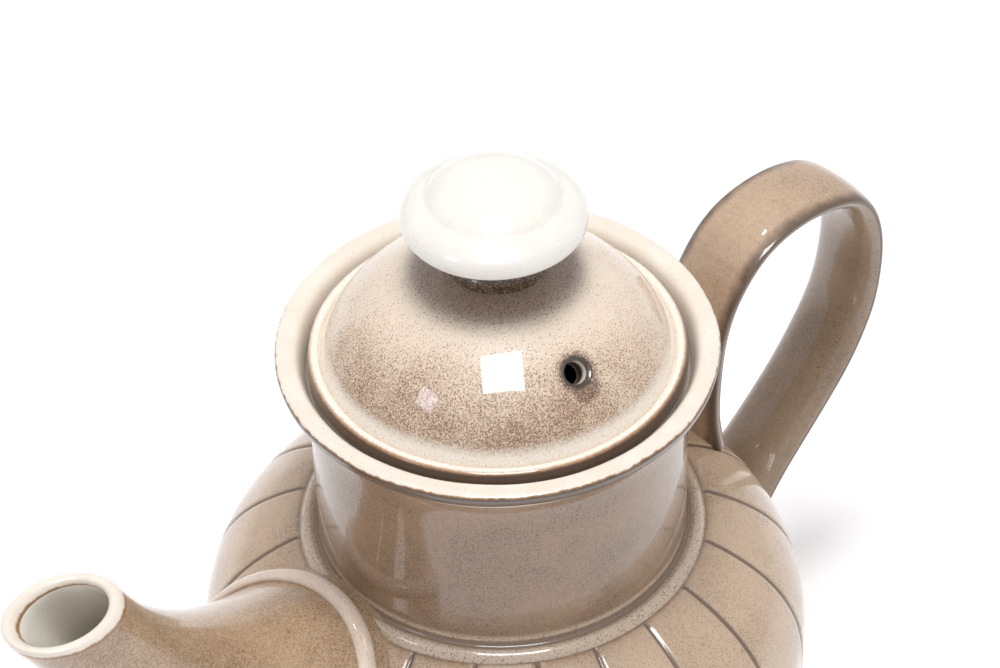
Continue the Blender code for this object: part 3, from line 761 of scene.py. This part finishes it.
class Finish:
    """One material under construction. Its methods add nodes and return the socket of the result."""

    def __init__(self, name, roughness, coat=0.0, metallic=0.0):
        self.material = bpy.data.materials.new(name)
        self.material.use_nodes = True
        self.tree = self.material.node_tree
        self.shader = self.tree.nodes["Principled BSDF"]
        self.shader.inputs["Roughness"].default_value = roughness
        self.shader.inputs["Metallic"].default_value = metallic
        self.shader.inputs["Coat Weight"].default_value = coat
        self.shader.inputs["Coat Roughness"].default_value = 0.045
        self.shader.inputs["Coat IOR"].default_value = 1.55
        coordinates = self.tree.nodes.new("ShaderNodeTexCoord")
        mapping = self.tree.nodes.new("ShaderNodeMapping")
        mapping.inputs["Scale"].default_value = (1 / MM, 1 / MM, 1 / MM)
        mapping.inputs["Location"].default_value = (-AXIS_X, 0.0, 0.0)
        self.tree.links.new(coordinates.outputs["Object"], mapping.inputs["Vector"])
        self.place = mapping.outputs["Vector"]
        split = self.tree.nodes.new("ShaderNodeSeparateXYZ")
        self.tree.links.new(self.place, split.inputs[0])
        self.x, self.y, self.z = split.outputs
        self.r = self.math("SQRT", self.math("ADD", self.math("MULTIPLY", self.x, self.x),
                                             self.math("MULTIPLY", self.y, self.y)))

    def put(self, socket, value):
        """Links a socket's value, or sets a number or a colour."""
        if isinstance(value, bpy.types.NodeSocket):
            self.tree.links.new(value, socket)
        else:
            socket.default_value = (*value, 1.0) if isinstance(value, tuple) and len(value) == 3 else value

    def math(self, operation, a, b=0.0):
        node = self.tree.nodes.new("ShaderNodeMath")
        node.operation = operation
        self.put(node.inputs[0], a)
        self.put(node.inputs[1], b)
        return node.outputs[0]

    def ramp(self, value, low, high, start=0.0, end=1.0):
        """Smooth change from start to end as value goes from low to high."""
        node = self.tree.nodes.new("ShaderNodeMapRange")
        node.interpolation_type = "SMOOTHSTEP"
        self.put(node.inputs["Value"], value)
        for name, number in (("From Min", low), ("From Max", high), ("To Min", start), ("To Max", end)):
            self.put(node.inputs[name], number)
        return node.outputs["Result"]

    def band(self, value, low, high, soft):
        """1 between low and high, fading out over soft on each side."""
        return self.times(self.ramp(value, low - soft, low),
                          self.ramp(value, high, high + soft, 1.0, 0.0))

    def times(self, first, *others):
        """The product of any number of values."""
        for other in others:
            first = self.math("MULTIPLY", first, other)
        return first

    def swing(self, value, amount):
        """A noise value moved to run both ways from zero and scaled."""
        return self.math("MULTIPLY", self.math("SUBTRACT", value, 0.5), amount)

    def noise(self, scale, detail=2.0, roughness=0.5, shift=0.0):
        """Noise with about scale features per mm."""
        node = self.tree.nodes.new("ShaderNodeTexNoise")
        node.noise_dimensions = "4D"
        node.inputs["W"].default_value = shift
        node.inputs["Scale"].default_value = scale
        node.inputs["Detail"].default_value = detail
        node.inputs["Roughness"].default_value = roughness
        self.put(node.inputs["Vector"], self.place)
        return node.outputs["Fac"]

    def carried(self, name):
        """A value stored on the mesh."""
        node = self.tree.nodes.new("ShaderNodeAttribute")
        node.attribute_name = name
        return node.outputs["Fac"]

    def mix(self, share, a, b):
        node = self.tree.nodes.new("ShaderNodeMix")
        node.data_type = "RGBA"
        self.put(node.inputs["Factor"], share)
        self.put(node.inputs[6], a)
        self.put(node.inputs[7], b)
        return node.outputs[2]

    def near(self, point):
        """Distance in mm from a point."""
        node = self.tree.nodes.new("ShaderNodeVectorMath")
        node.operation = "DISTANCE"
        self.put(node.inputs[0], self.place)
        node.inputs[1].default_value = point
        return node.outputs["Value"]

    def towards(self, azimuth):
        """From -1 to 1: how far round the pot the point is towards an azimuth in degrees."""
        a = math.radians(azimuth)
        dot = self.math("ADD", self.math("MULTIPLY", self.x, math.cos(a)),
                        self.math("MULTIPLY", self.y, math.sin(a)))
        return self.math("DIVIDE", dot, self.math("ADD", self.r, 0.01))

    def specks(self, density, scale, shift, edge=0.05):
        """Small irregular spots that cover more of the surface as density goes from 0 to 1."""
        grain = self.math("ADD", self.noise(scale, 2.0, 0.65, shift), self.math("MULTIPLY", density, 0.2))
        return self.ramp(grain, 0.62, 0.62 + edge)

    def finish(self, colour, bump=None, bump_mm=0.05):
        self.put(self.shader.inputs["Base Color"], colour)
        if bump is not None:
            node = self.tree.nodes.new("ShaderNodeBump")
            node.inputs["Distance"].default_value = bump_mm * MM
            node.inputs["Strength"].default_value = 1.0
            self.put(node.inputs["Height"], bump)
            self.put(self.shader.inputs["Normal"], node.outputs["Normal"])
        return self.material


# Glazes: the two tones that each drifts between
TAN = (0.62, 0.455, 0.315), (0.53, 0.375, 0.25)
NECK_BROWN = (0.36, 0.235, 0.145), (0.28, 0.175, 0.105)
SPOUT_TAN = (0.58, 0.405, 0.255), (0.44, 0.295, 0.18)
HANDLE_TAN = (0.58, 0.41, 0.28), (0.48, 0.33, 0.22)
STRAP_BROWN = (0.38, 0.27, 0.18), (0.29, 0.20, 0.13)
BEAD_TAN = (0.80, 0.665, 0.555), (0.72, 0.58, 0.47)
CREAM = (0.87, 0.775, 0.665), (0.91, 0.83, 0.73)
LINING = (0.93, 0.89, 0.81), (0.90, 0.85, 0.76)
KNOB_WHITE = (0.90, 0.875, 0.80), (0.865, 0.825, 0.77)

# Single tones
SPECK_BROWN = (0.13, 0.072, 0.038)
SPECK_DARK = (0.045, 0.028, 0.018)
GOLD_BROWN = (0.33, 0.165, 0.06)
BROWN = (0.20, 0.118, 0.068)


def clay_glaze(name, tones, speck, density):
    """Speckled stoneware glaze: broad drifts between two tones, with fine specks of iron over them."""
    f = Finish(name, 0.42, 1.0)
    drift = f.ramp(f.noise(0.05, 3.0, 0.55, 1.0), 0.36, 0.66)
    fine = f.ramp(f.noise(0.9, 3.0, 0.6, 4.0), 0.35, 0.7)
    base = f.mix(f.times(f.math("ADD", drift, fine), 0.5), *tones)
    cover = f.math("ADD", density, f.swing(drift, 0.3))
    small = f.specks(cover, 3.0, 7.0, 0.1)
    broad = f.specks(f.math("SUBTRACT", cover, 0.1), 2.0, 9.0, 0.1)
    colour = f.mix(f.times(small, 0.6), base, speck)
    colour = f.mix(f.times(broad, 0.45), colour, speck)
    surface = f.math("ADD", f.noise(0.35, 2.0, 0.5, 2.0), f.times(small, -0.05))
    return f, colour, surface


def bowl_material():
    """Tan bowl, darker where glaze pools by the neck and in the incised lines."""
    f, colour, surface = clay_glaze("speckled_tan_glaze", TAN, SPECK_BROWN, 0.36)
    ragged = f.times(f.noise(0.7, 2.0, 0.5, 3.0), 1.2)
    pool = f.ramp(f.math("ADD", f.r, ragged), BEAD_EDGE_R + 0.6, BEAD_EDGE_R + 2.2, 0.7, 0.0)
    pool = f.times(pool, f.ramp(f.z, SEAT_Z - 3.0, SEAT_Z - 2.0))
    colour = f.mix(pool, colour, BROWN)
    colour = f.mix(f.ramp(f.carried("line"), 0.12, 0.75, 0.0, 0.85), colour, (0.12, 0.07, 0.042))
    return f.finish(colour, surface, 0.07)


def neck_material():
    """Brown neck, tan bead, cream rim and gallery, and a rim edge where the glaze breaks to brown."""
    f, brown, surface = clay_glaze("neck_glaze", NECK_BROWN, SPECK_DARK, 0.42)
    warm = f.mix(f.times(f.specks(0.35, 2.2, 21.0), 0.6), (0.74, 0.585, 0.45), SPECK_BROWN)
    bead = f.times(f.ramp(f.z, SEAT_Z + 3.0, SEAT_Z + 4.6, 1.0, 0.0), 0.9)
    colour = f.mix(bead, brown, warm)
    crease = f.band(f.r, NECK_R + 0.15, NECK_R + 1.0, 0.4)
    crease = f.times(crease, f.ramp(f.z, SEAT_Z + 2.4, SEAT_Z + 3.0, 0.8, 0.0))
    colour = f.mix(crease, colour, BROWN)
    cream = f.mix(f.ramp(f.noise(0.12, 2.0, 0.5, 5.0), 0.4, 0.7), *CREAM)
    cream = f.mix(f.times(f.specks(0.1, 2.4, 11.0), 0.3), cream, (0.50, 0.35, 0.22))
    height = f.math("ADD", f.z, f.swing(f.noise(0.5, 3.0, 0.6, 3.0), 1.0))
    dark_lip = f.band(height, RIM_Z - 3.9, RIM_Z - 1.5, 0.7)
    colour = f.mix(f.times(dark_lip, 0.85), colour, (0.055, 0.034, 0.024))
    colour = f.mix(f.ramp(height, RIM_Z - 1.35, RIM_Z - 1.05), colour, (0.07, 0.033, 0.016))
    colour = f.mix(f.ramp(height, RIM_Z - 0.75, RIM_Z - 0.55), colour, GOLD_BROWN)
    colour = f.mix(f.ramp(height, RIM_Z - 0.45, RIM_Z - 0.25), colour, cream)
    slope = RIM_Z - RIM_R - 3.4
    inside = f.times(f.ramp(f.r, RIM_R - 1.9, RIM_R - 1.5, 1.0, 0.0),
                     f.ramp(f.z, RIM_Z - 8.4, RIM_Z - 7.6),
                     f.ramp(f.math("SUBTRACT", f.z, f.r), slope, slope + 0.6))
    throat = f.ramp(f.r, THROAT_R + 0.8, THROAT_R + 0.2)
    colour = f.mix(f.math("MAXIMUM", throat, inside), colour, cream)
    return f.finish(colour, surface, 0.06)


def spout_material():
    """Brown-tan spout with a cream lip, edged in gold-brown."""
    f, tan, surface = clay_glaze("spout_glaze", SPOUT_TAN, SPECK_BROWN, 0.6)
    mouth = SPOUT_UPPER[-1][1]
    height = f.math("ADD", f.z, f.swing(f.noise(0.6, 3.0, 0.6, 3.0), 0.9))
    colour = f.mix(f.ramp(height, mouth - 2.3, mouth - 1.9), tan, GOLD_BROWN)
    cream = f.mix(f.ramp(f.noise(0.2, 2.0, 0.5, 6.0), 0.4, 0.7), *CREAM)
    colour = f.mix(f.ramp(height, mouth - 1.7, mouth - 1.1), colour, cream)
    return f.finish(colour, surface, 0.06)


def lining_material():
    """Pale glaze inside the bowl and the spout."""
    f = Finish("lining_glaze", 0.32, 1.0)
    colour = f.mix(f.ramp(f.noise(0.1, 2.0, 0.5, 2.0), 0.4, 0.7), *LINING)
    colour = f.mix(f.times(f.specks(0.1, 2.2, 5.0), 0.35), colour, (0.45, 0.33, 0.22))
    return f.finish(colour, f.noise(0.4, 2.0, 0.5, 2.0), 0.06)


def handle_material():
    """Tan along the middle of the strap and browner at its edges, where the glaze is thin."""
    f, tan, surface = clay_glaze("handle_glaze", HANDLE_TAN, SPECK_BROWN, 0.3)
    side = f.math("ADD", f.math("ABSOLUTE", f.y), f.swing(f.noise(0.25, 2.0, 0.5, 8.0), 2.4))
    colour = f.mix(f.ramp(side, 6.4, 9.4, 0.0, 0.92), tan, (0.10, 0.056, 0.03))
    return f.finish(colour, surface, 0.10)


def inner_strap_material():
    f, brown, surface = clay_glaze("handle_inner_glaze", STRAP_BROWN, SPECK_DARK, 0.24)
    return f.finish(brown, surface, 0.10)


def lid_material():
    """Cream-pink dome peppered with iron specks, a cream roll at its edge and a stained steam vent."""
    f = Finish("lid_glaze", 0.40, 1.0)
    colour, specks = dome_colour(f)
    colour = vent_colour(f, roll_colour(f, colour))
    surface = f.math("ADD", f.noise(0.35, 2.0, 0.5, 2.0), f.times(specks, -0.06))
    return f.finish(colour, surface, 0.06)


def dome_colour(f):
    """Specks lie thickest low down at the front. Round the stem they thicken too, and the glaze there is
    darkened as painted shadow of the knob.
    """
    drift = f.noise(0.09, 3.0, 0.6, 1.0)
    low = f.ramp(f.r, 16.0, 36.0)
    front = f.ramp(f.towards(-138.0), -0.2, 0.9)
    # ring round the stem: more brown specks, and the knob's shadow painted into the colour
    stem_specks_and_shadow = f.ramp(f.r, 15.0, 21.0, 1.0, 0.0)
    density = f.math("ADD", f.times(low, 0.2), f.times(low, front, 0.42))
    density = f.math("ADD", density, f.swing(drift, 0.6))
    density = f.math("ADD", density, f.times(stem_specks_and_shadow, 0.45))
    deep = f.mix(front, (0.80, 0.635, 0.485), (0.76, 0.565, 0.40))
    base = f.mix(f.times(low, f.ramp(drift, 0.3, 0.6, 0.55, 1.0)), (0.88, 0.755, 0.62), deep)
    # painted shadow: the knob's shade darkens the glaze round the stem
    base = f.mix(f.times(stem_specks_and_shadow, 0.85), base, (0.33, 0.26, 0.21))
    small = f.specks(density, 3.0, 7.0, 0.05)
    tiny = f.specks(density, 4.4, 12.0, 0.06)
    broad = f.specks(f.math("SUBTRACT", density, 0.25), 2.1, 9.0, 0.06)
    colour = f.mix(f.times(tiny, 0.6), base, (0.24, 0.12, 0.055))
    colour = f.mix(f.times(small, 0.8), colour, (0.15, 0.066, 0.028))
    return f.mix(f.times(broad, 0.5), colour, (0.15, 0.07, 0.03)), small


def roll_colour(f, colour):
    """Cream on the roll, burnt in a ragged band along its outer edge, most of all at the front."""
    ragged = f.swing(f.noise(0.9, 3.0, 0.65, 3.0), 1.3)
    cream = f.mix(f.times(f.specks(0.16, 2.8, 15.0), 0.6), (0.95, 0.86, 0.755), (0.40, 0.24, 0.12))
    above = f.ramp(f.z, LID_BOTTOM_Z + 0.2, LID_BOTTOM_Z + 0.6)
    reach = f.math("ADD", f.r, f.times(ragged, 0.6))
    colour = f.mix(f.times(f.ramp(reach, DOME_R - 0.9, DOME_R + 0.7), above), colour, cream)
    rim = f.math("SUBTRACT", f.r, f.times(f.math("SUBTRACT", f.z, ROLL_Z), 0.35))
    rim = f.math("ADD", rim, f.times(ragged, 0.5))
    strength = f.ramp(f.towards(-115.0), -0.6, 0.7, 0.35, 1.0)
    fringe = f.times(f.ramp(rim, LID_R - 1.7, LID_R - 1.0), above, strength)
    colour = f.mix(fringe, colour, (0.45, 0.235, 0.10))
    burnt = f.times(f.ramp(rim, LID_R - 1.1, LID_R - 0.5), above, strength)
    colour = f.mix(burnt, colour, (0.085, 0.042, 0.022))
    return f.mix(f.ramp(f.z, LID_BOTTOM_Z, LID_BOTTOM_Z + 0.4, 1.0, 0.0), colour, CREAM[0])


def vent_colour(f, colour):
    """A dark ring and a speckled run of stain round the steam vent, and its pale bore, darkened further
    down as painted shade.
    """
    ball = Vector((0.0, 0.0, DOME_APEX_Z - DOME_BALL))
    vent = vent_direction() * DOME_BALL + ball
    away = f.math("ADD", f.near(vent), f.swing(f.noise(1.2, 3.0, 0.6, 19.0), 1.6))
    run = f.math("ADD", f.near(vent + Vector((0.3, -2.4, -2.6))), 1.2)
    halo = f.ramp(f.math("MINIMUM", away, run), 3.4, 6.2, 1.0, 0.0)
    halo = f.times(halo, f.specks(f.math("ADD", f.times(halo, 1.1), 0.1), 3.0, 23.0, 0.1))
    colour = f.mix(f.times(halo, 0.85), colour, (0.11, 0.048, 0.02))
    colour = f.mix(f.ramp(away, 3.1, 3.9, 0.95, 0.0), colour, (0.035, 0.018, 0.01))
    depth = f.near(ball)
    bore = f.times(f.ramp(f.near(vent), VENT_R + 2.0, VENT_R + 3.0, 1.0, 0.0),
                   f.ramp(depth, DOME_BALL - 0.55, DOME_BALL - 0.3, 1.0, 0.0))
    colour = f.mix(bore, colour, (0.85, 0.77, 0.66))
    # painted shade: the bore darkened to near black further down
    deep = f.times(bore, f.ramp(depth, DOME_BALL - 2.4, DOME_BALL - 1.4, 1.0, 0.0))
    return f.mix(deep, colour, (0.10, 0.07, 0.05))


def knob_material():
    """Cream-white button on a dark speckled stem."""
    f = Finish("knob_glaze", 0.34, 1.0)
    white = f.mix(f.ramp(f.noise(0.12, 2.0, 0.5, 3.0), 0.35, 0.65), *KNOB_WHITE)
    white = f.mix(f.times(f.specks(0.12, 2.0, 6.0), 0.22), white, (0.5, 0.4, 0.3))
    stem = f.mix(f.specks(0.8, 2.6, 8.0), (0.26, 0.17, 0.10), SPECK_DARK)
    colour = f.mix(f.ramp(f.z, KNOB_EDGE_Z - 2.4, KNOB_EDGE_Z - 1.4), (0.38, 0.24, 0.15), white)
    colour = f.mix(f.ramp(f.z, KNOB_EDGE_Z - 4.4, KNOB_EDGE_Z - 3.2, 1.0, 0.0), colour, stem)
    return f.finish(colour, f.noise(0.35, 2.0, 0.5, 2.0), 0.06)


def bead_material():
    f, tan, surface = clay_glaze("bead_glaze", BEAD_TAN, SPECK_BROWN, 0.14)
    return f.finish(tan, surface, 0.06)


def clay_material():
    """Unglazed clay with a little grit."""
    f = Finish("bare_stoneware", 0.85)
    tone = f.ramp(f.noise(0.3, 4.0, 0.6, 1.0), 0.35, 0.65)
    colour = f.mix(tone, (0.55, 0.42, 0.30), (0.47, 0.35, 0.24))
    colour = f.mix(f.times(f.specks(0.3, 1.6, 3.0), 0.5), colour, (0.25, 0.17, 0.11))
    return f.finish(colour, f.noise(1.5, 4.0, 0.7, 2.0), 0.2)


def steel_material():
    """Satin sheet with brushing that runs round the basket."""
    f = Finish("satin_steel", 0.28, metallic=1.0)
    stretch = f.tree.nodes.new("ShaderNodeMapping")
    stretch.inputs["Scale"].default_value = (0.05, 0.05, 3.0)
    f.put(stretch.inputs["Vector"], f.place)
    f.place = stretch.outputs["Vector"]
    brushing = f.noise(2.0, 3.0, 0.6, 1.0)
    colour = f.mix(f.ramp(brushing, 0.3, 0.7), (0.66, 0.66, 0.65), (0.54, 0.54, 0.55))
    f.put(f.shader.inputs["Roughness"], f.ramp(brushing, 0.25, 0.75, 0.2, 0.38))
    return f.finish(colour, brushing, 0.02)


def silicone_material():
    f = Finish("silicone", 0.5)
    tone = f.ramp(f.noise(0.8, 3.0, 0.6, 1.0), 0.35, 0.65)
    colour = f.mix(tone, (0.82, 0.82, 0.80), (0.76, 0.76, 0.74))
    return f.finish(colour, f.noise(2.0, 2.0, 0.5, 2.0), 0.03)


# ---- the object ----

def settle(obj, body, slot, material, *nodes):
    """Gives a piece its material and body, and hides the CAD nodes that it stands for. slot is not used.
    """
    obj.data.materials.clear()
    obj.data.materials.append(material)
    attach(obj, body)
    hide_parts(*nodes)
    return obj


def coat_faces(obj, second, test):
    """Gives the faces that pass the test a second material."""
    obj.data.materials.append(second)
    for face in obj.data.polygons:
        if test(face):
            face.material_index = 1


def inside_bowl(face):
    middle = (face.center - Vector((AXIS_X * MM, 0.0, 0.0))) / MM
    return bowl_excess(middle, -1.2) < 0.0 and BOWL_UNDER + 1.0 < middle.z < SEAT_Z - 1


def inside_spout(face):
    return face.index >= (SPOUT_RINGS + LIP_GLAZED) * SPOUT_SIDES


def inside_strap(face):
    return face.index % STRAP_SIDES > STRAP_SIDES // 2


def build_pot():
    lining = lining_material()
    bowl = make_bowl()
    wobble(bowl, 0.14, 18.0)
    pierce_strainer(bowl)
    settle(bowl, "pot", "tan_glaze", bowl_material(), "body_bowl", "body_shoulder")
    coat_faces(bowl, lining, inside_bowl)
    settle(make_foot(), "pot", "bare_clay", clay_material(), "foot_ring")
    settle(make_neck(), "pot", "brown_glaze", neck_material(), "neck_collar", "neck_bead")
    spout = settle(make_spout(), "pot", "brown_glaze", spout_material(), "spout")
    coat_faces(spout, lining, inside_spout)
    settle(make_spout_bead(), "pot", "tan_glaze", bead_material(), "spout_bead")
    handle = settle(make_handle(), "pot", "tan_glaze", handle_material(), "handle_strap")
    coat_faces(handle, inner_strap_material(), inside_strap)


def build_lid():
    settle(make_lid(), "lid", "tan_glaze", lid_material(), "lid_cover", "lid_skirt")
    settle(make_knob(), "lid", "cream_glaze", knob_material(), "knob", "knob_stem")


def build_infuser():
    rim, hoop, wall, floor, gasket = make_infuser()
    steel = steel_material()
    settle(rim, "infuser", "steel", steel, "infuser_rim")
    settle(hoop, "infuser", "steel", steel, "infuser_hoop")
    settle(wall, "infuser", "steel", steel, "infuser_wall")
    settle(floor, "infuser", "steel", steel, "infuser_base")
    settle(gasket, "infuser", "silicone", silicone_material(), "infuser_gasket")


# ---- studio ----

CAMERA_TARGET = Vector((0.00946, 0.00039, 0.12706))
CAMERA_PLACE = Vector((-0.30410, -0.39998, 0.58015))
CAMERA_ROLL = math.radians(-1.55)
LENS = 115.3
FLOOR_HALF = 3.0
STUDIO_WHITE = (0.98, 0.98, 1.0, 1.0)

# Small bright panes that only show as reflections: name, way from the pot, size (m), power (W), colour
GLINTS = [
    ("window", (-0.332, -0.508, 1.034), (0.53, 0.42), 10.0, (1.0, 1.0, 1.0)),
    ("side_pane", (-1.01, 0.03, 0.66), (0.22, 0.22), 0.9, (0.86, 0.84, 1.0)),
    ("back_pane", (-0.07, 0.383, 1.135), (0.16, 0.05), 0.5, (1.0, 1.0, 1.0)),
]


def make_camera():
    data = bpy.data.cameras.new("camera")
    data.lens = LENS
    data.sensor_width = 36.0
    data.clip_start = 0.05
    camera = bpy.data.objects.new("camera", data)
    camera.location = CAMERA_PLACE
    view = (CAMERA_TARGET - CAMERA_PLACE).to_track_quat("-Z", "Y")
    camera.rotation_mode = "QUATERNION"
    camera.rotation_quaternion = view @ Quaternion((0.0, 0.0, 1.0), CAMERA_ROLL)
    bpy.context.scene.collection.objects.link(camera)
    bpy.context.scene.camera = camera


def make_floor():
    """White paper that glows a little, so that it stays even where the pot shades it."""
    corners = [(x * FLOOR_HALF, y * FLOOR_HALF, 0.0) for x, y in ((-1, -1), (1, -1), (1, 1), (-1, 1))]
    mesh = bpy.data.meshes.new("floor")
    mesh.from_pydata(corners, [], [(0, 1, 2, 3)])
    floor = bpy.data.objects.new("floor", mesh)
    material = bpy.data.materials.new("white_floor")
    material.use_nodes = True
    shader = material.node_tree.nodes["Principled BSDF"]
    shader.inputs["Base Color"].default_value = (0.93, 0.93, 0.94, 1.0)
    shader.inputs["Roughness"].default_value = 0.6
    shader.inputs["Emission Color"].default_value = STUDIO_WHITE
    shader.inputs["Emission Strength"].default_value = 0.22
    mesh.materials.append(material)
    bpy.context.scene.collection.objects.link(floor)


def add_light(name, place, target, size, power, colour=(1.0, 1.0, 1.0), diffuse=True, glossy=True):
    data = bpy.data.lights.new(name, "AREA")
    data.shape = "RECTANGLE"
    data.size, data.size_y = size
    data.energy = power
    data.color = colour
    light = bpy.data.objects.new(name, data)
    light.location = place
    light.rotation_mode = "QUATERNION"
    light.rotation_quaternion = (Vector(target) - Vector(place)).to_track_quat("-Z", "Y")
    light.visible_diffuse = diffuse
    light.visible_glossy = glossy
    bpy.context.scene.collection.objects.link(light)


def light_scene():
    world = bpy.data.worlds.new("studio")
    world.use_nodes = True
    background = world.node_tree.nodes["Background"]
    background.inputs["Color"].default_value = STUDIO_WHITE
    background.inputs["Strength"].default_value = 0.60
    bpy.context.scene.world = world
    target = Vector((AXIS_X * MM, 0.0, 0.12))
    add_light("overhead", target + Vector((-0.01, -0.03, 0.95)), target, (0.34, 0.34), 6.0, glossy=False)
    for name, way, size, power, colour in GLINTS:
        add_light(name, target + Vector(way), target, size, power, colour, diffuse=False)
    bpy.context.scene.view_settings.view_transform = "Standard"


make_camera()
build_pot()
build_lid()
build_infuser()
make_floor()
light_scene()
